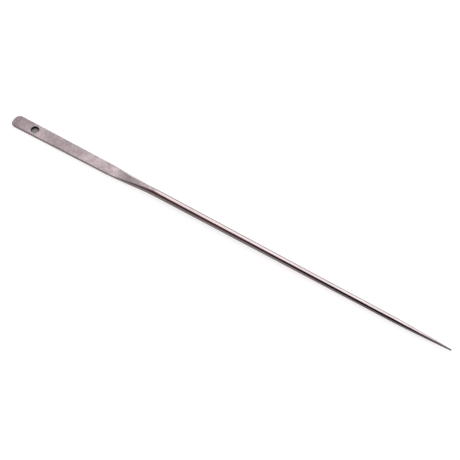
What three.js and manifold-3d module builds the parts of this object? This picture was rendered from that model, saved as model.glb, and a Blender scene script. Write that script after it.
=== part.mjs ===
// Regulator needle, the upholsterer's tool for evening out stuffing, made in one piece from round
// steel wire. The wire is tapered to a point, its other end is hammered out sideways into a paddle,
// the paddle is ground flat on both faces, an eye is drilled through it, and it is set down a little
// so that the needle can't roll. The needle lies along X with its point at +X and its flats facing up
// and down. The origin is under the middle of its length, on the surface that the needle rests on.

import * as THREE from 'three';
import { mergeVertices } from 'three/addons/utils/BufferGeometryUtils.js';
import Module from 'manifold-3d';

// Driving dimensions, in millimetres
const LENGTH = 254;
const PADDLE_LENGTH = 57;
const PADDLE_END_WIDTH = 7.55;
const PADDLE_NECK_WIDTH = 6.45;
const PADDLE_THICKNESS = 1.3;
const END_CORNER_RADIUS = 3;
const SHOULDER_LENGTH = 28;
const FLATS_LENGTH = 62;
const GRIND_BLEND = 3;
const GRIND_RUNOUT = 22;
const BEND_LENGTH = 30;
const NECK_SET = 0.88;
const PADDLE_SET = 1.6;
const SHANK_DIAMETER = 3.6;
const POINT_LENGTH = 34;
const POINT_BASE_DIAMETER = 2.75;
const POINT_FULLNESS = 12;
const NOSE_RADIUS = 0.35;
const EYE_DIAMETER = 3.8;
const EYE_FROM_END = 13.2;
const EYE_CHAMFER = 0.2;

// Facets
const SIDES = 48;
const EYE_SIDES = 40;
const CORNER_STEPS = 9;
const SHOULDER_STEPS = 24;
const GRIND_STEPS = 24;
const SHANK_STEPS = 6;
const CURVE_STEPS = 6;

// Sizes that follow from the driving dimensions
const SHANK_RADIUS = SHANK_DIAMETER / 2;
const HALF_THICKNESS = PADDLE_THICKNESS / 2;
const SHOULDER_END = PADDLE_LENGTH + SHOULDER_LENGTH;
const BEND_END = FLATS_LENGTH + BEND_LENGTH;
const SHANK_START = Math.max(SHOULDER_END, BEND_END);
const POINT_START = LENGTH - POINT_LENGTH;
const SET_SLOPE = (PADDLE_SET - NECK_SET) / FLATS_LENGTH;
const GRIND_RISE = (SHANK_RADIUS - HALF_THICKNESS) / GRIND_RUNOUT;
const TONGUE_TIP = FLATS_LENGTH + GRIND_BLEND + GRIND_RUNOUT;
const TOOL_OVERRUN = SHANK_DIAMETER;
const CORNER_TO_FLAT = 1 / Math.cos(Math.PI / SIDES);

const { lerp, smoothstep } = THREE.MathUtils;
const wasm = await Module();
wasm.setup();

// Half the width seen from above, at a distance from the blunt end: round corners, a straight taper
// along the paddle, then a smooth step in to the shank along the shoulder
function halfWidth(station) {
  const along = Math.min(station / PADDLE_LENGTH, 1);
  const paddle = lerp(PADDLE_END_WIDTH, PADDLE_NECK_WIDTH, along) / 2;
  const fromCorner = Math.max(END_CORNER_RADIUS - station, 0);
  const rounding = END_CORNER_RADIUS - Math.sqrt(END_CORNER_RADIUS ** 2 - fromCorner ** 2);
  const shoulder = smoothstep(station, PADDLE_LENGTH, SHOULDER_END);
  return lerp(paddle - rounding, SHANK_RADIUS, shoulder);
}

// How far the hammered end is set down below the line of the shank, at a distance from the blunt end:
// a slow bend along the shoulder, then straight along the flats, so that they stay flat
function setDown(station) {
  const bend = 1 - smoothstep(station, FLATS_LENGTH, BEND_END);
  const straight = Math.max(FLATS_LENGTH - station, 0);
  return NECK_SET * bend + SET_SLOPE * straight;
}

// Half the thickness that grinding leaves, at a distance from the blunt end: level along the flats,
// then a curve that turns into a straight wedge
function groundHeight(station) {
  const past = Math.max(station - FLATS_LENGTH, 0);
  const curve = Math.min(past, 2 * GRIND_BLEND);
  return HALF_THICKNESS + GRIND_RISE * (curve ** 2 / (4 * GRIND_BLEND) + past - curve);
}

// Radius against distance from the blunt end for the wire before it is hammered out: full round along
// the end that is worked, a slow taper along the shank, a fuller curve along the point, and a rounded
// nose
function wireProfile() {
  const taper = (SHANK_RADIUS - POINT_BASE_DIAMETER / 2) / (POINT_START - SHANK_START);
  const profile = new THREE.Path();
  profile.moveTo(0, 0);
  for (let i = 0; i <= CORNER_STEPS; i++) {
    const turn = (Math.PI / 2) * (i / CORNER_STEPS);
    profile.lineTo(SHANK_RADIUS, END_CORNER_RADIUS * (1 - Math.cos(turn)));
  }
  for (let i = 0; i <= SHOULDER_STEPS; i++) {
    profile.lineTo(SHANK_RADIUS, lerp(PADDLE_LENGTH, SHANK_START, i / SHOULDER_STEPS));
  }
  for (let i = 1; i <= SHANK_STEPS; i++) {
    const station = lerp(SHANK_START, POINT_START, i / SHANK_STEPS);
    profile.lineTo(SHANK_RADIUS - taper * (station - SHANK_START), station);
  }
  const fullRadius = POINT_BASE_DIAMETER / 2 - taper * POINT_FULLNESS;
  profile.quadraticCurveTo(fullRadius, POINT_START + POINT_FULLNESS, NOSE_RADIUS, LENGTH - NOSE_RADIUS);
  profile.absarc(0, LENGTH - NOSE_RADIUS, NOSE_RADIUS, 0, Math.PI / 2);
  return profile.getPoints(CURVE_STEPS);
}

// The wire turned about X, then spread sideways to the outline seen from above and set down, so that
// the hammered end has oval sections and the shank stays round. A flat of the many-sided shank faces
// down.
function forgedBlank() {
  const blank = new THREE.LatheGeometry(wireProfile(), SIDES, Math.PI / SIDES);
  blank.rotateZ(-Math.PI / 2);
  blank.scale(1, CORNER_TO_FLAT, CORNER_TO_FLAT);
  const points = blank.attributes.position;
  for (let i = 0; i < points.count; i++) {
    const station = points.getX(i);
    points.setY(i, points.getY(i) * halfWidth(station) / SHANK_RADIUS);
    points.setZ(i, points.getZ(i) - setDown(station));
  }
  return blank;
}

// What the two grinding passes leave: parallel flats along the paddle that open out in a wedge past
// the round shank. Where a wedge face leaves the round, the flat ends in a pointed tongue.
function groundEnvelope() {
  const stations = [-TOOL_OVERRUN];
  const clear = Math.max(BEND_END, TONGUE_TIP) + TOOL_OVERRUN;
  for (let i = 0; i <= GRIND_STEPS; i++) {
    stations.push(lerp(FLATS_LENGTH, clear, i / GRIND_STEPS));
  }
  stations.push(LENGTH + TOOL_OVERRUN);
  const under = stations.map((x) => new THREE.Vector2(x, -groundHeight(x) - setDown(x)));
  const over = stations.map((x) => new THREE.Vector2(x, groundHeight(x) - setDown(x)));
  const side = new THREE.Shape([...under, ...over.reverse()]);
  const width = Math.max(PADDLE_END_WIDTH, PADDLE_NECK_WIDTH, SHANK_DIAMETER) + 2 * TOOL_OVERRUN;
  const envelope = new THREE.ExtrudeGeometry(side, { depth: width, bevelEnabled: false });
  envelope.rotateX(Math.PI / 2);
  envelope.translate(0, width / 2, 0);
  return envelope;
}

// Drill and countersinks in one turned shape, square to the flats: the eye's bore, opening out to a
// chamfer at each flat
function eyeDrill() {
  const bore = EYE_DIAMETER / 2;
  const mouth = bore + 2 * EYE_CHAMFER;
  const top = HALF_THICKNESS + EYE_CHAMFER;
  const neck = HALF_THICKNESS - EYE_CHAMFER;
  const profile = new THREE.Path();
  profile.moveTo(0, -top);
  profile.lineTo(mouth, -top);
  profile.lineTo(bore, -neck);
  profile.lineTo(bore, neck);
  profile.lineTo(mouth, top);
  profile.lineTo(0, top);
  const drill = new THREE.LatheGeometry(profile.getPoints(), EYE_SIDES);
  drill.rotateX(Math.PI / 2);
  drill.rotateY(-Math.atan(SET_SLOPE));
  drill.translate(EYE_FROM_END, 0, -setDown(EYE_FROM_END));
  return drill;
}

// A closed solid from a geometry: shared corners become one point, and triangles that vanish at a pole
// are left out
function solidFrom(geometry) {
  geometry.deleteAttribute('normal');
  geometry.deleteAttribute('uv');
  const merged = mergeVertices(geometry);
  const corners = merged.index.array;
  const triangles = [];
  for (let i = 0; i < corners.length; i += 3) {
    const [a, b, c] = corners.slice(i, i + 3);
    if (a !== b && b !== c && c !== a) {
      triangles.push(a, b, c);
    }
  }
  const vertProperties = new Float32Array(merged.attributes.position.array);
  const triVerts = new Uint32Array(triangles);
  return new wasm.Manifold(new wasm.Mesh({ numProp: 3, vertProperties, triVerts }));
}

function geometryFrom(solid) {
  const mesh = solid.getMesh();
  const geometry = new THREE.BufferGeometry();
  geometry.setAttribute('position', new THREE.BufferAttribute(mesh.vertProperties, mesh.numProp));
  geometry.setIndex(new THREE.BufferAttribute(mesh.triVerts, 1));
  return geometry;
}

// The needle laid down as it rests, on the underside of the blunt end and on the shank where the point
// begins
function laidDown(geometry) {
  const rise = PADDLE_SET + HALF_THICKNESS - POINT_BASE_DIAMETER / 2;
  geometry.rotateY(Math.atan2(rise, POINT_START));
  geometry.computeBoundingBox();
  const { min, max } = geometry.boundingBox;
  geometry.translate(-(min.x + max.x) / 2, 0, -min.z);
  geometry.computeVertexNormals();
  return geometry;
}

const ground = solidFrom(forgedBlank()).intersect(solidFrom(groundEnvelope()));
const drilled = ground.subtract(solidFrom(eyeDrill()));

const steel = new THREE.MeshStandardMaterial({ color: 0x9c9093, metalness: 1, roughness: 0.28 });
const needle = new THREE.Mesh(laidDown(geometryFrom(drilled)), steel);
needle.name = 'needle';

const regulator = new THREE.Group();
regulator.add(needle);

export default regulator;
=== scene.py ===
import math

import bmesh
import bpy
import numpy as np
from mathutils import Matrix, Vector


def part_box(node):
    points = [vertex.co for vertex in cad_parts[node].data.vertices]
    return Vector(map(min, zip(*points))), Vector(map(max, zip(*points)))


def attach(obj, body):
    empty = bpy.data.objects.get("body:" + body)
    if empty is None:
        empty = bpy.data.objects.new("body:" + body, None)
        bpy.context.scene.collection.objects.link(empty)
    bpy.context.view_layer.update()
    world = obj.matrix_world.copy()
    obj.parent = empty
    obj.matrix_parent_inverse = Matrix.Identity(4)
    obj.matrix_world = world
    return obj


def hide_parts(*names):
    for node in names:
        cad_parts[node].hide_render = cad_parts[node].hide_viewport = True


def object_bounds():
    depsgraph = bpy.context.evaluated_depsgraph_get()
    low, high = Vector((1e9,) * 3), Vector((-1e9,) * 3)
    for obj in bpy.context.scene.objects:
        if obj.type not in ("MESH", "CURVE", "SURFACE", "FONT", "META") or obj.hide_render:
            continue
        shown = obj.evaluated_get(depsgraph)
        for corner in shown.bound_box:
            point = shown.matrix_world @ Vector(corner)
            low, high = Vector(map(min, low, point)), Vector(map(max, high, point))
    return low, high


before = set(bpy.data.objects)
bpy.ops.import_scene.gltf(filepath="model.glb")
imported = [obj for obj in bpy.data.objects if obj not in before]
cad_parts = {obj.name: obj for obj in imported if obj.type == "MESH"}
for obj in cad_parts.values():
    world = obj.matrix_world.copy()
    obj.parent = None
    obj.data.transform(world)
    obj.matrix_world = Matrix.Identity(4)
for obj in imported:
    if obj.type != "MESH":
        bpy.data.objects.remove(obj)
cad_low, cad_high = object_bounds()

# Driving dimensions of the needle, in metres, before it is set and laid down
LENGTH = 0.254
PADDLE_LENGTH = 0.057
PADDLE_END_WIDTH = 0.00755
PADDLE_NECK_WIDTH = 0.00645
PADDLE_THICKNESS = 0.0013
END_CORNER_RADIUS = 0.003
SHOULDER_LENGTH = 0.028
FLATS_LENGTH = 0.062
GRIND_BLEND = 0.003
GRIND_RUNOUT = 0.022
BEND_LENGTH = 0.03
NECK_SET = 0.00088
PADDLE_SET = 0.0016
SHANK_DIAMETER = 0.0036
POINT_LENGTH = 0.034
POINT_BASE_DIAMETER = 0.00275
POINT_FULLNESS = 0.012
NOSE_RADIUS = 0.00035
EYE_DIAMETER = 0.0038
EYE_FROM_END = 0.0132
EYE_RIM_RADIUS = 0.0003
EDGE_RADIUS = 0.0001
TONGUE_EDGE_EASE = 0.012

# Spacing of the surface's rings along the needle, in metres
BLUNT_END_SPACING = 0.0007
EYE_SPACING = 0.0004
PADDLE_SPACING = 0.001
TONGUE_SPACING = 0.0004
SHANK_START_SPACING = 0.0006
SHANK_SPACING = 0.002
POINT_SPACING = 0.0009

# Steps of the surface grid
BULGE_STEPS = 9
EDGE_STEPS = 8
FLAT_STEPS = 9
END_STEPS = 3
CORNER_STEPS = 16
NOSE_STEPS = 8
EYE_RADIAL_STEPS = 9
EYE_RIM_STEPS = 5
EYE_WALL_STEPS = 4

# Share of the flat that its first column takes
FLAT_MARGIN = 0.012

# Power that crowds the rows towards the eye's rim
EYE_CROWDING = 1.6

# Half the length of the window that the eye's own grid fills, in eye radii
EYE_WINDOW_RATIO = 1.7

# Length past the tongue's tip along which the columns spread round the shank, in metres
ROUND_EASE = 0.016

# Distance within which points are merged, in metres
WELD_DISTANCE = 1e-7

# Sizes that follow from the driving dimensions
SHANK_RADIUS = SHANK_DIAMETER / 2
HALF_THICKNESS = PADDLE_THICKNESS / 2
SHOULDER_END = PADDLE_LENGTH + SHOULDER_LENGTH
BEND_END = FLATS_LENGTH + BEND_LENGTH
SHANK_START = max(SHOULDER_END, BEND_END)
TONGUE_TIP = FLATS_LENGTH + GRIND_BLEND + GRIND_RUNOUT
POINT_START = LENGTH - POINT_LENGTH
POINT_BASE_RADIUS = POINT_BASE_DIAMETER / 2
TAPER = (SHANK_RADIUS - POINT_BASE_RADIUS) / (POINT_START - SHANK_START)
SET_SLOPE = (PADDLE_SET - NECK_SET) / FLATS_LENGTH
GRIND_RISE = (SHANK_RADIUS - HALF_THICKNESS) / GRIND_RUNOUT
LIE = math.atan2(PADDLE_SET + HALF_THICKNESS - POINT_BASE_RADIUS, POINT_START)
EYE_RADIUS = EYE_DIAMETER / 2
EYE_WINDOW = EYE_WINDOW_RATIO * EYE_RADIUS

# Numbers of the finishes on the mesh, and their tones
GROUND, POLISHED, EYE_WALL = 0, 1, 2
GROUND_TONE = (0.4, 0.332, 0.346, 1.0)
POLISHED_TONE = (0.29, 0.245, 0.25, 1.0)
POLISHED_EDGE_TINT = (0.15, 0.1, 0.1, 1.0)
# The eye's near-black tone is painted shade in the hole
EYE_SHADE_TONE = (0.045, 0.038, 0.036, 1.0)
WHITE = (1.0, 1.0, 1.0, 1.0)

# Painted reflection on the flats, as stops of share of the length and shade: bands lighter and darker
# where the flats catch more or less light, brightest near the tongue's tip by the shank's highlight
GROUND_PAINTED_REFLECTION = (
    (0.0, 0.47), (0.065, 0.74), (0.12, 0.52), (0.19, 0.69), (0.26, 0.66), (0.285, 0.56), (0.32, 1.0),
)

# Painted shade on the polished steel, as stops of the same kind, darkest towards the point
POLISHED_PAINTED_SHADE = ((0.42, 0.84), (0.6, 0.91), (0.8, 0.63))

# Noise of the handling marks and smudges, and the levels of it that show
SMUDGE_NOISE = {"Detail": 4.0, "Roughness": 0.6}
MARK_NOISE = {"Scale": 1.0, "Detail": 3.0, "Roughness": 0.65}
SMUDGE_LEVELS = (0.3, 0.7)
MARK_LEVELS = (0.35, 0.65)
BUMP_STRENGTH = 0.4

# Floor: its size in metres, its tone and its lift to white
FLOOR_SIZE = 8.0
FLOOR_TONE = (0.265, 0.248, 0.26, 1.0)
FLOOR_LIFT = 0.75

# Soft edges, in metres, of the strip of floor under the paddle that isn't lifted: a painted shadow
SHADE_INSIDE_ENDS = (0.003, 0.002)
SHADE_SIDES = (0.0025, 0.003)

# Studio walls, as steps of the direction's X, Y and Z, with their light and tones
WALL_LIGHT = 1.0
CEILING_LIGHT = 0.7
WALL_TOP = (0.45, 0.65)
GAP_LEFT = (-0.5, -0.43)
GAP_RIGHT = (-0.17, -0.11)
GAP_BACK = (-0.15, 0.1)
GAP_CORE = (-0.33, -0.26)
GAP_DEPTHS = (0.68, 0.97)
WALL_TONE = (1.0, 0.97, 0.97, 1.0)
GAP_TONE = (1.0, 0.6, 0.62, 1.0)

# Arch of light: its radius in metres, and its bands by their start and end in degrees
ARCH_RADIUS = 2.0
ARCH_BANDS = (("top", 77.0, 103.0), ("back", 103.0, 135.0), ("low", 135.0, 167.0))

# Panels of the arch for each part of the needle, one in each band, by left end, right end and radiance
ARCH_PANELS = (
    ("paddle", ((-1.5, -0.92, 0.2), (-1.5, -0.98, 0.7), (-1.5, -1.15, 0.7))),
    ("shank", ((-0.92, -0.5, 3.1), (-0.98, -0.5, 3.3), (-1.15, -0.5, 3.3))),
    ("point", ((-0.5, -0.2, 4.6), (-0.5, -0.2, 5.6), (-0.5, -0.2, 5.6))),
)

# Camera
CAMERA_AZIMUTH = math.radians(33.52)
CAMERA_ELEVATION = math.radians(53.0)
CAMERA_DISTANCE = 1.0
CAMERA_LENS = 161.69
CAMERA_SENSOR = 36.0
CAMERA_CLIP_START = 0.01
CAMERA_AIM = Vector((0.00297, 0.001207, 0.00175))

# Places of the colour sockets on a Mix node
MIX_FIRST, MIX_SECOND, MIX_RESULT = 6, 7, 2


def smoothstep(value, low, high):
    """Zero below low, one above high, and between them 3 t squared minus 2 t cubed of the share t."""
    t = np.clip((value - low) / (high - low), 0.0, 1.0)
    return t * t * (3.0 - 2.0 * t)


def parabola(u, start, middle, end):
    """A parabola from start to end, whose tangents there meet at middle: start times (1 - u) squared, plus
    middle times 2 u (1 - u), plus end times u squared."""
    return (1 - u) ** 2 * start + 2 * u * (1 - u) * middle + u ** 2 * end


def paddle_half_width(station):
    """Half the paddle's width without its corners: a straight line from the blunt end to the neck."""
    share = np.minimum(station / PADDLE_LENGTH, 1.0)
    return (PADDLE_END_WIDTH + (PADDLE_NECK_WIDTH - PADDLE_END_WIDTH) * share) / 2


def grind_height(station):
    """Half the height that grinding leaves: level along the flats, then a parabola that turns into a
    wedge of steady slope."""
    past = np.maximum(station - FLATS_LENGTH, 0.0)
    curve = np.minimum(past, 2 * GRIND_BLEND)
    return HALF_THICKNESS + GRIND_RISE * (curve ** 2 / (4 * GRIND_BLEND) + past - curve)


def set_down(station):
    """How far the hammered end drops below the shank's line: a smooth step along the bend, then a
    straight slope along the flats."""
    bend = 1 - smoothstep(station, FLATS_LENGTH, BEND_END)
    straight = np.maximum(FLATS_LENGTH - station, 0.0)
    return NECK_SET * bend + SET_SLOPE * straight


def lay_down(points):
    """The whole needle set and turned about Y until it rests on its blunt end and its shank, and then
    moved to the place of the needle in the frame."""
    x, y, z = points.T
    z = z - set_down(x)
    laid_x = x * math.cos(LIE) + z * math.sin(LIE)
    laid_z = z * math.cos(LIE) - x * math.sin(LIE)
    low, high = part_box("needle")
    laid_x += (low.x + high.x - laid_x.min() - laid_x.max()) / 2
    laid_z += low.z - laid_z.min()
    return np.stack([laid_x, y, laid_z], axis=1)


def stretch(start, end, spacing):
    """Evenly spaced stations from start up to but not including end."""
    return np.linspace(start, end, max(round((end - start) / spacing), 1), endpoint=False)


def side_stations():
    """Stations along the straight sides, the shoulder and the shank, closer where the form changes."""
    window_start = EYE_FROM_END - EYE_WINDOW
    window_end = EYE_FROM_END + EYE_WINDOW
    return np.concatenate([
        stretch(END_CORNER_RADIUS, window_start, BLUNT_END_SPACING),
        stretch(window_start, window_end, EYE_SPACING),
        stretch(window_end, FLATS_LENGTH, PADDLE_SPACING),
        stretch(FLATS_LENGTH, TONGUE_TIP, TONGUE_SPACING),
        stretch(TONGUE_TIP, TONGUE_TIP + ROUND_EASE, SHANK_START_SPACING),
        stretch(TONGUE_TIP + ROUND_EASE, POINT_START, SHANK_SPACING),
    ])


def ring_frames():
    """One row for each ring of the surface: the outline point from above (x, y), the outward direction
    there, the half width and half height of the oval that the ring is cut from, and the place on the
    middle line that the flat runs to. The outline starts at the middle of the blunt end, turns the corner
    on an arc, and follows the sides, the shank, the point's parabola and the nose's arc."""
    end_y = np.linspace(0.0, PADDLE_END_WIDTH / 2 - END_CORNER_RADIUS, END_STEPS, endpoint=False)
    turn = np.linspace(0.0, math.pi / 2, CORNER_STEPS, endpoint=False)
    corner_x = END_CORNER_RADIUS * (1 - np.cos(turn))
    corner_y = paddle_half_width(corner_x) - END_CORNER_RADIUS * (1 - np.sin(turn))
    sides = side_stations()
    shank = SHANK_RADIUS - TAPER * np.maximum(sides - SHANK_START, 0.0)
    into_shank = smoothstep(sides, PADDLE_LENGTH, SHOULDER_END)
    sides_y = paddle_half_width(sides) * (1 - into_shank) + shank * into_shank
    u = np.linspace(0.0, 1.0, round(POINT_LENGTH / POINT_SPACING), endpoint=False)
    nose_start = LENGTH - NOSE_RADIUS
    point_x = parabola(u, POINT_START, POINT_START + POINT_FULLNESS, nose_start)
    point_y = parabola(u, POINT_BASE_RADIUS, POINT_BASE_RADIUS - TAPER * POINT_FULLNESS, NOSE_RADIUS)
    nose = np.linspace(0.0, math.pi / 2, NOSE_STEPS)
    nose_x = nose_start + NOSE_RADIUS * np.sin(nose)
    nose_y = NOSE_RADIUS * np.cos(nose)

    x = np.concatenate([np.zeros(END_STEPS), corner_x, sides, point_x, nose_x])
    y = np.concatenate([end_y, corner_y, sides_y, point_y, nose_y])
    end_rings = END_STEPS + CORNER_STEPS
    half_height = np.concatenate([np.full(end_rings, SHANK_RADIUS), shank, point_y, nose_y])
    half_width = np.where(np.arange(len(x)) < end_rings, paddle_half_width(END_CORNER_RADIUS), y)
    facing = np.concatenate([np.zeros(END_STEPS), turn, np.full(len(x) - end_rings, math.pi / 2)])
    foot = np.maximum(x, END_CORNER_RADIUS)
    return x, y, -np.cos(facing), np.sin(facing), half_width, half_height, foot


def quarter_sections(x, y, out_x, out_y, half_width, half_height, foot):
    """The upper right quarter of every ring as points (ring, column, xyz). Columns run from the outline at
    mid-height, by the normal's angle, over the oval's bulge and the soft edge of the flat, and then
    straight over the flat to the middle line. A section with a flat is a smaller oval with a quarter oval
    added to it, which softens the flat's edge. The quarter oval's reach and rise start at the edge radius
    and grow by smooth steps along the tongue, up to half the section. Past the tongue's tip the flat has
    no width, and the columns spread out round the whole quarter of the shank."""
    widening = smoothstep(x, FLATS_LENGTH, FLATS_LENGTH + TONGUE_EDGE_EASE)
    rising = smoothstep(x, FLATS_LENGTH, TONGUE_TIP)
    reach = EDGE_RADIUS + (half_width / 2 - EDGE_RADIUS) * widening
    rise = EDGE_RADIUS + (half_height / 2 - EDGE_RADIUS) * rising
    inner_a = half_width - reach
    inner_b = half_height - rise
    cut = np.arcsin(np.clip((grind_height(x) - rise) / np.maximum(inner_b, WELD_DISTANCE), -1.0, 1.0))
    cut = np.where(x >= TONGUE_TIP, math.pi / 2, cut)
    cut_angle = np.arctan2(inner_a * np.sin(cut), inner_b * np.cos(cut))
    corner = inner_a * np.cos(cut)

    spread = smoothstep(x, TONGUE_TIP, TONGUE_TIP + ROUND_EASE)
    columns = BULGE_STEPS + EDGE_STEPS + FLAT_STEPS
    bulge_end = cut_angle + (math.pi / 2 * BULGE_STEPS / columns - cut_angle) * spread
    edge_end = math.pi / 2 * (1 + ((BULGE_STEPS + EDGE_STEPS) / columns - 1) * spread)
    bulge = np.linspace(0.0, 1.0, BULGE_STEPS, endpoint=False)
    rounded = np.linspace(0.0, 1.0, EDGE_STEPS, endpoint=False)
    even = np.linspace(0.0, 1.0, FLAT_STEPS + 1)
    held = np.concatenate([[0.0], np.linspace(FLAT_MARGIN, 1.0, FLAT_STEPS)])
    across = held + (even - held) * spread[:, None]
    angle = np.concatenate([
        bulge * bulge_end[:, None],
        bulge_end[:, None] + rounded * (edge_end - bulge_end)[:, None],
        edge_end[:, None] + across * (math.pi / 2 - edge_end)[:, None],
    ], axis=1)
    flat_share = np.concatenate([np.zeros((len(x), BULGE_STEPS + EDGE_STEPS)), across], axis=1)

    on_oval = np.minimum(angle, cut_angle[:, None])
    oval = np.arctan2(inner_b[:, None] * np.sin(on_oval), inner_a[:, None] * np.cos(on_oval))
    edge = np.arctan2(rise[:, None] * np.sin(angle), reach[:, None] * np.cos(angle))
    offset = inner_a[:, None] * np.cos(oval) + reach[:, None] * np.cos(edge)
    height = inner_b[:, None] * np.sin(oval) + rise[:, None] * np.sin(edge)
    inset = half_width[:, None] - offset
    rim_x = x[:, None] - inset * out_x[:, None]
    rim_y = y[:, None] - inset * out_y[:, None]
    on_flat = corner[:, None] > WELD_DISTANCE
    share = np.where(on_flat, flat_share, 0.0)
    return np.stack([rim_x + (foot[:, None] - rim_x) * share, rim_y * (1 - share), height], axis=2)


def closed_rings(quarter):
    """Whole rings from quarter rings, mirrored over the middle line and then over mid-height."""
    last = quarter.shape[1] - 1
    up, down = np.arange(last + 1), np.arange(last - 1, -1, -1)
    columns = np.concatenate([up, down, up[1:], down[:-1]])
    side = np.concatenate([np.ones(last + 1), -np.ones(2 * last), np.ones(last - 1)])
    level = np.concatenate([np.ones(2 * last + 1), -np.ones(2 * last - 1)])
    rings = quarter[:, columns].copy()
    rings[:, :, 1] *= side
    rings[:, :, 2] *= level
    return rings


def grid_quads(rows, columns, first=0):
    """Corner numbers of a grid's quads, whose columns run round and join up, as an array (row, column, 4).
    A corner's number is its row times the number of columns, plus its column."""
    row, column = np.meshgrid(np.arange(rows - 1), np.arange(columns), indexing="ij")
    onward = (column + 1) % columns
    near = row * columns
    far = near + columns
    return first + np.stack([near + column, near + onward, far + onward, far + column], axis=2)


def eye_lining(loop):
    """The flats round the eye and the eye's wall as one grid (row, place on the loop, xyz). Each place on
    the loop that bounds the window runs straight to the eye's rim, round the rim on a quarter arc, down the
    wall, and the same way out on the underside."""
    centre = np.array([EYE_FROM_END, 0.0])
    spoke = loop - centre
    reach = np.linalg.norm(spoke, axis=1)
    mouth = EYE_RADIUS + EYE_RIM_RADIUS
    share = np.linspace(0.0, 1.0, EYE_RADIAL_STEPS)
    inward = 1 - (1 - share) ** EYE_CROWDING
    turn = np.linspace(0.0, math.pi / 2, EYE_RIM_STEPS + 1)[1:]
    wall = np.linspace(HALF_THICKNESS - EYE_RIM_RADIUS, 0.0, EYE_WALL_STEPS + 1)[1:]
    share_in = np.concatenate([inward, np.ones(EYE_RIM_STEPS + EYE_WALL_STEPS)])
    radius = np.concatenate([
        np.full(EYE_RADIAL_STEPS, mouth),
        mouth - EYE_RIM_RADIUS * np.sin(turn),
        np.full(EYE_WALL_STEPS, EYE_RADIUS),
    ])
    height = np.concatenate([
        np.full(EYE_RADIAL_STEPS, HALF_THICKNESS),
        HALF_THICKNESS - EYE_RIM_RADIUS * (1 - np.cos(turn)),
        wall,
    ])
    share_in = np.concatenate([share_in, share_in[-2::-1]])
    radius = np.concatenate([radius, radius[-2::-1]])
    height = np.concatenate([height, -height[-2::-1]])
    distance = reach * (1 - share_in[:, None]) + radius[:, None] * share_in[:, None]
    xy = centre + (spoke / reach[:, None]) * distance[:, :, None]
    return np.concatenate([xy, np.broadcast_to(height[:, None, None], distance.shape + (1,))], axis=2)


def window_loop(first_ring, last_ring, first_column, last_column):
    """Ring and column numbers round the edge of the eye's window, in order."""
    rings = np.arange(first_ring, last_ring + 1)
    columns = np.arange(first_column, last_column + 1)
    ring = np.concatenate([
        rings,
        np.full(len(columns) - 1, last_ring),
        rings[-2::-1],
        np.full(len(columns) - 2, first_ring),
    ])
    column = np.concatenate([
        np.full(len(rings), first_column),
        columns[1:],
        np.full(len(rings) - 1, last_column),
        columns[-2:0:-1],
    ])
    return ring, column


def needle_surface():
    """Points, quads and the number of each quad's finish, for the whole needle: the rings, less the quads
    in the eye's window on both flats, and the eye's lining in their place."""
    frames = ring_frames()
    x = frames[0]
    rings = closed_rings(quarter_sections(*frames))
    count, around = rings.shape[:2]
    quads = grid_quads(count, around)

    quarter = around // 4
    edge_column = BULGE_STEPS + EDGE_STEPS
    column = np.arange(around)
    upper_flat = (column >= edge_column) & (column < 2 * quarter - edge_column)
    lower_flat = (column >= 2 * quarter + edge_column) & (column < 4 * quarter - edge_column)
    flat_column = upper_flat | lower_flat
    ground = flat_column[None, :] & (x[:-1] < TONGUE_TIP - WELD_DISTANCE)[:, None]

    first_ring = int(np.argmin(np.abs(x - (EYE_FROM_END - EYE_WINDOW))))
    last_ring = int(np.argmin(np.abs(x - (EYE_FROM_END + EYE_WINDOW))))
    row = np.arange(count - 1)
    in_window = ((row >= first_ring) & (row < last_ring))[:, None] & flat_column[None, :]
    ring, place = window_loop(first_ring, last_ring, edge_column, 2 * quarter - edge_column)
    lining = eye_lining(rings[ring, place, :2])
    lining_quads = grid_quads(lining.shape[0], lining.shape[1], count * around)

    points = np.concatenate([rings.reshape(-1, 3), lining.reshape(-1, 3)])
    lining_row = np.arange(lining.shape[0] - 1)
    from_rim = np.minimum(lining_row, lining_row[::-1]) - (EYE_RADIAL_STEPS - 1)
    # The eye's rim and wall take the finish of painted shade
    lining_finish = np.where(from_rim < 0, GROUND, EYE_WALL)
    all_quads = np.concatenate([quads[~in_window], lining_quads.reshape(-1, 4)])
    finish = np.concatenate([
        np.where(ground, GROUND, POLISHED)[~in_window],
        np.repeat(lining_finish, lining.shape[1]),
    ])
    return lay_down(points), all_quads, finish


def make_piece(name, points, quads, finish, materials):
    """A smooth closed mesh from points and quads, with doubles merged and faces turned outwards."""
    mesh = bpy.data.meshes.new(name)
    mesh.from_pydata(points.tolist(), [], quads.tolist())
    for material in materials:
        mesh.materials.append(material)
    mesh.polygons.foreach_set("material_index", finish.astype(np.int32))
    form = bmesh.new()
    form.from_mesh(mesh)
    bmesh.ops.remove_doubles(form, verts=form.verts, dist=WELD_DISTANCE)
    bmesh.ops.recalc_face_normals(form, faces=form.faces)
    form.to_mesh(mesh)
    form.free()
    mesh.polygons.foreach_set("use_smooth", np.ones(len(mesh.polygons), dtype=bool))
    mesh.update()
    piece = bpy.data.objects.new(name, mesh)
    bpy.context.scene.collection.objects.link(piece)
    return piece


def new_node(tree, kind, **settings):
    """A new node with its settings."""
    node = tree.nodes.new(kind)
    for key, value in settings.items():
        setattr(node, key, value)
    return node


def feed(tree, source, socket):
    """Links a node's output to a socket, or puts a plain value on it."""
    if isinstance(source, bpy.types.NodeSocket):
        tree.links.new(source, socket)
    else:
        socket.default_value = source


def math_node(tree, operation, first, second=0.0):
    """A node for one sum. Each side is a socket or a plain number."""
    node = new_node(tree, "ShaderNodeMath", operation=operation)
    feed(tree, first, node.inputs[0])
    feed(tree, second, node.inputs[1])
    return node.outputs[0]


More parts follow.
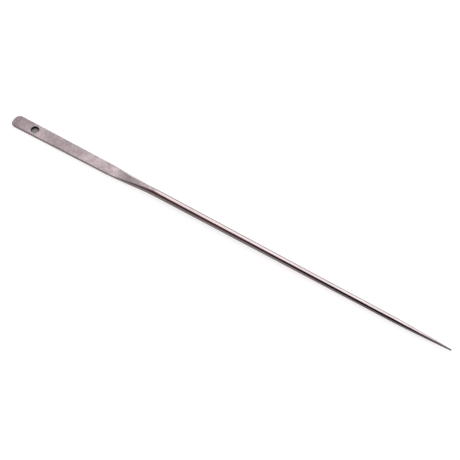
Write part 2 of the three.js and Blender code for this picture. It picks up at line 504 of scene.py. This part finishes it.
def range_node(tree, source, low, high, at_low=0.0, at_high=1.0, course="LINEAR"):
    """A node that runs from one value to another while its source runs from low to high."""
    node = new_node(tree, "ShaderNodeMapRange", interpolation_type=course)
    sides = {"Value": source, "From Min": low, "From Max": high, "To Min": at_low, "To Max": at_high}
    for key, side in sides.items():
        feed(tree, side, node.inputs[key])
    return node.outputs["Result"]


def smooth_step_node(tree, source, steps, at_low, at_high):
    """A node that runs smoothly from one value to another between two levels of its source."""
    return range_node(tree, source, *steps, at_low, at_high, "SMOOTHSTEP")


def multiply_colours(tree, first, second):
    """A node that multiplies two colours. Each is a socket or a plain colour."""
    node = new_node(tree, "ShaderNodeMix", data_type="RGBA", blend_type="MULTIPLY")
    node.inputs["Factor"].default_value = 1.0
    feed(tree, first, node.inputs[MIX_FIRST])
    feed(tree, second, node.inputs[MIX_SECOND])
    return node.outputs[MIX_RESULT]


def noise_node(tree, place, values):
    """A node for soft noise at a place. Each value is a socket or a plain number."""
    node = new_node(tree, "ShaderNodeTexNoise")
    tree.links.new(place, node.inputs["Vector"])
    for key, value in values.items():
        feed(tree, value, node.inputs[key])
    return node.outputs["Fac"]


def wear_group():
    """Fine marks and smudges of handled steel. Marks come from noise on stretched coordinates, smudges from
    soft noise on plain ones. The tone to multiply the colour by is one less each of them times its depth,
    the roughness runs from smooth to rough with their sum, and the height is that of the marks."""
    tree = bpy.data.node_groups.new("handled_steel", "ShaderNodeTree")
    for name in ("Place", "Marks"):
        tree.interface.new_socket(name=name, in_out="INPUT", socket_type="NodeSocketVector")
    for name in ("Smudge Scale", "Smudge Depth", "Mark Depth", "Smooth", "Rough"):
        tree.interface.new_socket(name=name, in_out="INPUT", socket_type="NodeSocketFloat")
    tree.interface.new_socket(name="Tone", in_out="OUTPUT", socket_type="NodeSocketColor")
    for name in ("Roughness", "Height"):
        tree.interface.new_socket(name=name, in_out="OUTPUT", socket_type="NodeSocketFloat")
    given = new_node(tree, "NodeGroupInput").outputs
    result = new_node(tree, "NodeGroupOutput").inputs

    smudge_noise = noise_node(tree, given["Place"], {"Scale": given["Smudge Scale"], **SMUDGE_NOISE})
    smudge = range_node(tree, smudge_noise, *SMUDGE_LEVELS)
    mark = range_node(tree, noise_node(tree, given["Marks"], MARK_NOISE), *MARK_LEVELS)
    smudge_loss = math_node(tree, "MULTIPLY", smudge, given["Smudge Depth"])
    mark_loss = math_node(tree, "MULTIPLY", mark, given["Mark Depth"])
    loss = math_node(tree, "ADD", smudge_loss, mark_loss)
    both = math_node(tree, "ADD", smudge, mark)
    tree.links.new(math_node(tree, "SUBTRACT", 1.0, loss), result["Tone"])
    tree.links.new(range_node(tree, both, 0.0, 2.0, given["Smooth"], given["Rough"]), result["Roughness"])
    tree.links.new(mark, result["Height"])
    return tree


def lengthways_painted_light(tree, place, stops):
    """A grey of painted reflection and shade, which follows stops of share of the needle's length and
    shade, straight between them.
    """
    axes = new_node(tree, "ShaderNodeSeparateXYZ")
    tree.links.new(place, axes.inputs[0])
    along = range_node(tree, axes.outputs["X"], cad_low.x, cad_high.x)
    shades = new_node(tree, "ShaderNodeValToRGB")
    elements = shades.color_ramp.elements
    for position, shade in stops[1:-1]:
        elements.new(position)
    for element, (position, shade) in zip(elements, stops):
        element.position = position
        element.color = (shade, shade, shade, 1.0)
    tree.links.new(along, shades.inputs["Fac"])
    return shades.outputs["Color"]


def steel(name, wear, tone, edge_tint, mark_scale, wear_values, bump_distance, stops=()):
    """A steel finish: metal of one tone, multiplied by the painted reflection and shade along the needle
    where it has any, and by the tone of the wear group, which also gives the roughness and the height of
    the bump."""
    material = bpy.data.materials.new(name)
    material.use_nodes = True
    tree = material.node_tree
    link = tree.links.new
    shader = tree.nodes["Principled BSDF"]
    shader.inputs["Metallic"].default_value = 1.0
    shader.inputs["Specular Tint"].default_value = edge_tint
    place = new_node(tree, "ShaderNodeTexCoord").outputs["Object"]
    marks = new_node(tree, "ShaderNodeMapping")
    marks.inputs["Scale"].default_value = mark_scale
    link(place, marks.inputs["Vector"])
    group = new_node(tree, "ShaderNodeGroup", node_tree=wear)
    link(place, group.inputs["Place"])
    link(marks.outputs["Vector"], group.inputs["Marks"])
    for key, value in wear_values.items():
        group.inputs[key].default_value = value

    # Painted reflection and shade along the needle, as a grey ramp, where the finish has one
    if stops:
        tone = multiply_colours(tree, tone, lengthways_painted_light(tree, place, stops))
    link(multiply_colours(tree, tone, group.outputs["Tone"]), shader.inputs["Base Color"])
    link(group.outputs["Roughness"], shader.inputs["Roughness"])
    bump = new_node(tree, "ShaderNodeBump")
    bump.inputs["Strength"].default_value = BUMP_STRENGTH
    bump.inputs["Distance"].default_value = bump_distance
    link(group.outputs["Height"], bump.inputs["Height"])
    link(bump.outputs["Normal"], shader.inputs["Normal"])
    return material


def ground_steel(wear):
    """Satin flats, with grinding marks across the needle, broad smudges and painted reflection along it."""
    return steel(
        "ground_flat_steel", wear, GROUND_TONE, WHITE, mark_scale=(2600.0, 500.0, 500.0),
        wear_values={
            "Smudge Scale": 260.0, "Smudge Depth": 0.32, "Mark Depth": 0.2, "Smooth": 0.24, "Rough": 0.36,
        },
        bump_distance=0.00002, stops=GROUND_PAINTED_REFLECTION,
    )


def polished_steel(wear):
    """Polished shank, point and edges, with fine marks along the needle and painted shade towards the
    point.
    """
    return steel(
        "polished_shank_steel", wear, POLISHED_TONE, POLISHED_EDGE_TINT, mark_scale=(60.0, 2200.0, 2200.0),
        wear_values={
            "Smudge Scale": 140.0, "Smudge Depth": 0.1, "Mark Depth": 0.06, "Smooth": 0.07, "Rough": 0.15,
        },
        bump_distance=0.000004, stops=POLISHED_PAINTED_SHADE,
    )


def eye_painted_shade_steel(wear):
    """Dark, rough wall and rim of the eye, with drill marks round it; the dark tone is painted shade."""
    return steel(
        "eye_wall_painted_shade_steel", wear, EYE_SHADE_TONE, WHITE, mark_scale=(900.0, 900.0, 4000.0),
        wear_values={
            "Smudge Scale": 600.0, "Smudge Depth": 0.3, "Mark Depth": 0.2, "Smooth": 0.45, "Rough": 0.7,
        },
        bump_distance=0.00001,
    )


def outside_painted_paddle_shadow(tree):
    """Zero on the strip of floor under the paddle's flats and one outside it, with soft edges: the painted
    shadow's mask.
    """
    place = new_node(tree, "ShaderNodeTexCoord")
    axes = new_node(tree, "ShaderNodeSeparateXYZ")
    tree.links.new(place.outputs["Object"], axes.inputs[0])
    half_length = FLATS_LENGTH / 2
    from_middle = math_node(tree, "SUBTRACT", axes.outputs["X"], cad_low.x + half_length)
    along = math_node(tree, "ABSOLUTE", from_middle)
    across = math_node(tree, "ABSOLUTE", axes.outputs["Y"])
    ends = [half_length - inset for inset in SHADE_INSIDE_ENDS]
    past_ends = smooth_step_node(tree, along, ends, 0.0, 1.0)
    past_sides = smooth_step_node(tree, across, SHADE_SIDES, 0.0, 1.0)
    return math_node(tree, "MAXIMUM", past_ends, past_sides)


def pale_floor():
    """A pale square floor. Rays that see it straight, in a reflection or through something get a lift to
    white, but not on a strip under the paddle, a painted shadow that keeps the floor there dark."""
    half = FLOOR_SIZE / 2
    corners = [(-half, -half, 0), (half, -half, 0), (half, half, 0), (-half, half, 0)]
    mesh = bpy.data.meshes.new("floor")
    mesh.from_pydata(corners, [], [(0, 1, 2, 3)])
    floor = bpy.data.objects.new("floor", mesh)
    floor.location.z = cad_low.z
    bpy.context.scene.collection.objects.link(floor)
    material = bpy.data.materials.new("pale_floor")
    material.use_nodes = True
    tree = material.node_tree
    shader = tree.nodes["Principled BSDF"]
    shader.inputs["Base Color"].default_value = FLOOR_TONE
    shader.inputs["Roughness"].default_value = 1.0
    shader.inputs["Specular IOR Level"].default_value = 0.0
    shader.inputs["Emission Color"].default_value = WHITE
    path = new_node(tree, "ShaderNodeLightPath").outputs
    seen = math_node(tree, "MAXIMUM", path["Is Camera Ray"], path["Is Glossy Ray"])
    seen = math_node(tree, "MAXIMUM", seen, path["Is Transmission Ray"])
    # No lift on the strip under the paddle: painted shadow
    lifted = math_node(tree, "MULTIPLY", seen, outside_painted_paddle_shadow(tree))
    lift = math_node(tree, "MULTIPLY", lifted, FLOOR_LIFT)
    tree.links.new(lift, shader.inputs["Emission Strength"])
    mesh.materials.append(material)


def softbox(name, place, aim, width, depth, radiance):
    """A flat light of a given radiance: its power is pi times its area times the radiance."""
    lamp = bpy.data.lights.new(name, "AREA")
    lamp.shape = "RECTANGLE"
    lamp.size = width
    lamp.size_y = depth
    lamp.energy = math.pi * width * depth * radiance
    holder = bpy.data.objects.new(name, lamp)
    holder.location = place
    holder.rotation_euler = (Vector(aim) - Vector(place)).to_track_quat("-Z", "Y").to_euler()
    bpy.context.scene.collection.objects.link(holder)


def arch_softbox(name, start, end, left, right, radiance):
    """One panel of an arch of light over the needle. Start and end are degrees round the needle from the
    horizon in front, over the top, and left and right are the panel's reach along the needle. The panel
    touches the arch's circle at its middle, and is twice the radius times the tangent of half its angle
    deep."""
    middle = math.radians((start + end) / 2)
    depth = 2 * ARCH_RADIUS * math.tan(math.radians((end - start) / 2))
    along = (left + right) / 2
    place = (along, -ARCH_RADIUS * math.cos(middle), ARCH_RADIUS * math.sin(middle))
    softbox(name, place, (along, 0.0, 0.0), right - left, depth, radiance)


def arch_of_light():
    """All panels of the arch: one in each band for each part of the needle."""
    for part, panels in ARCH_PANELS:
        for (band, start, end), (left, right, radiance) in zip(ARCH_BANDS, panels):
            arch_softbox(f"{part}_{band}_softbox", start, end, left, right, radiance)


def studio_world():
    """Pale walls up to a height, a dimmer ceiling, and a gap in front to the left, which is dim at its left
    and dark at its right. The light is that of the walls times one less the gap's depth."""
    world = bpy.data.worlds.new("studio")
    world.use_nodes = True
    tree = world.node_tree
    background = tree.nodes["Background"]
    place = new_node(tree, "ShaderNodeTexCoord")
    axes = new_node(tree, "ShaderNodeSeparateXYZ")
    tree.links.new(place.outputs["Generated"], axes.inputs[0])
    x, y, z = axes.outputs
    walls = smooth_step_node(tree, z, WALL_TOP, WALL_LIGHT, CEILING_LIGHT)
    right_of_left = smooth_step_node(tree, x, GAP_LEFT, 0.0, 1.0)
    left_of_right = smooth_step_node(tree, x, GAP_RIGHT, 1.0, 0.0)
    in_front = smooth_step_node(tree, y, GAP_BACK, 1.0, 0.0)
    gap = math_node(tree, "MULTIPLY", math_node(tree, "MULTIPLY", right_of_left, left_of_right), in_front)
    depth = math_node(tree, "MULTIPLY", gap, smooth_step_node(tree, x, GAP_CORE, *GAP_DEPTHS))
    light = math_node(tree, "MULTIPLY", walls, math_node(tree, "SUBTRACT", 1.0, depth))
    shade = new_node(tree, "ShaderNodeMix", data_type="RGBA")
    shade.inputs[MIX_FIRST].default_value = WALL_TONE
    shade.inputs[MIX_SECOND].default_value = GAP_TONE
    tree.links.new(gap, shade.inputs["Factor"])
    tree.links.new(shade.outputs[MIX_RESULT], background.inputs["Color"])
    tree.links.new(light, background.inputs["Strength"])
    bpy.context.scene.world = world


def photo_camera():
    """The camera that looks down the photograph's line of sight."""
    lens = bpy.data.cameras.new("camera")
    lens.lens = CAMERA_LENS
    lens.sensor_width = CAMERA_SENSOR
    lens.clip_start = CAMERA_CLIP_START
    camera = bpy.data.objects.new("camera", lens)
    back = Vector((
        math.sin(CAMERA_AZIMUTH) * math.cos(CAMERA_ELEVATION),
        -math.cos(CAMERA_AZIMUTH) * math.cos(CAMERA_ELEVATION),
        math.sin(CAMERA_ELEVATION),
    ))
    camera.location = CAMERA_AIM + back * CAMERA_DISTANCE
    camera.rotation_euler = (-back).to_track_quat("-Z", "Y").to_euler()
    bpy.context.scene.collection.objects.link(camera)
    bpy.context.scene.camera = camera


wear = wear_group()
finishes = (ground_steel(wear), polished_steel(wear), eye_painted_shade_steel(wear))
points, quads, finish = needle_surface()
needle = make_piece("regulator_needle", points, quads, finish, finishes)
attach(needle, "root")
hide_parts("needle")

pale_floor()
arch_of_light()
studio_world()
bpy.context.scene.view_settings.view_transform = "Standard"
photo_camera()
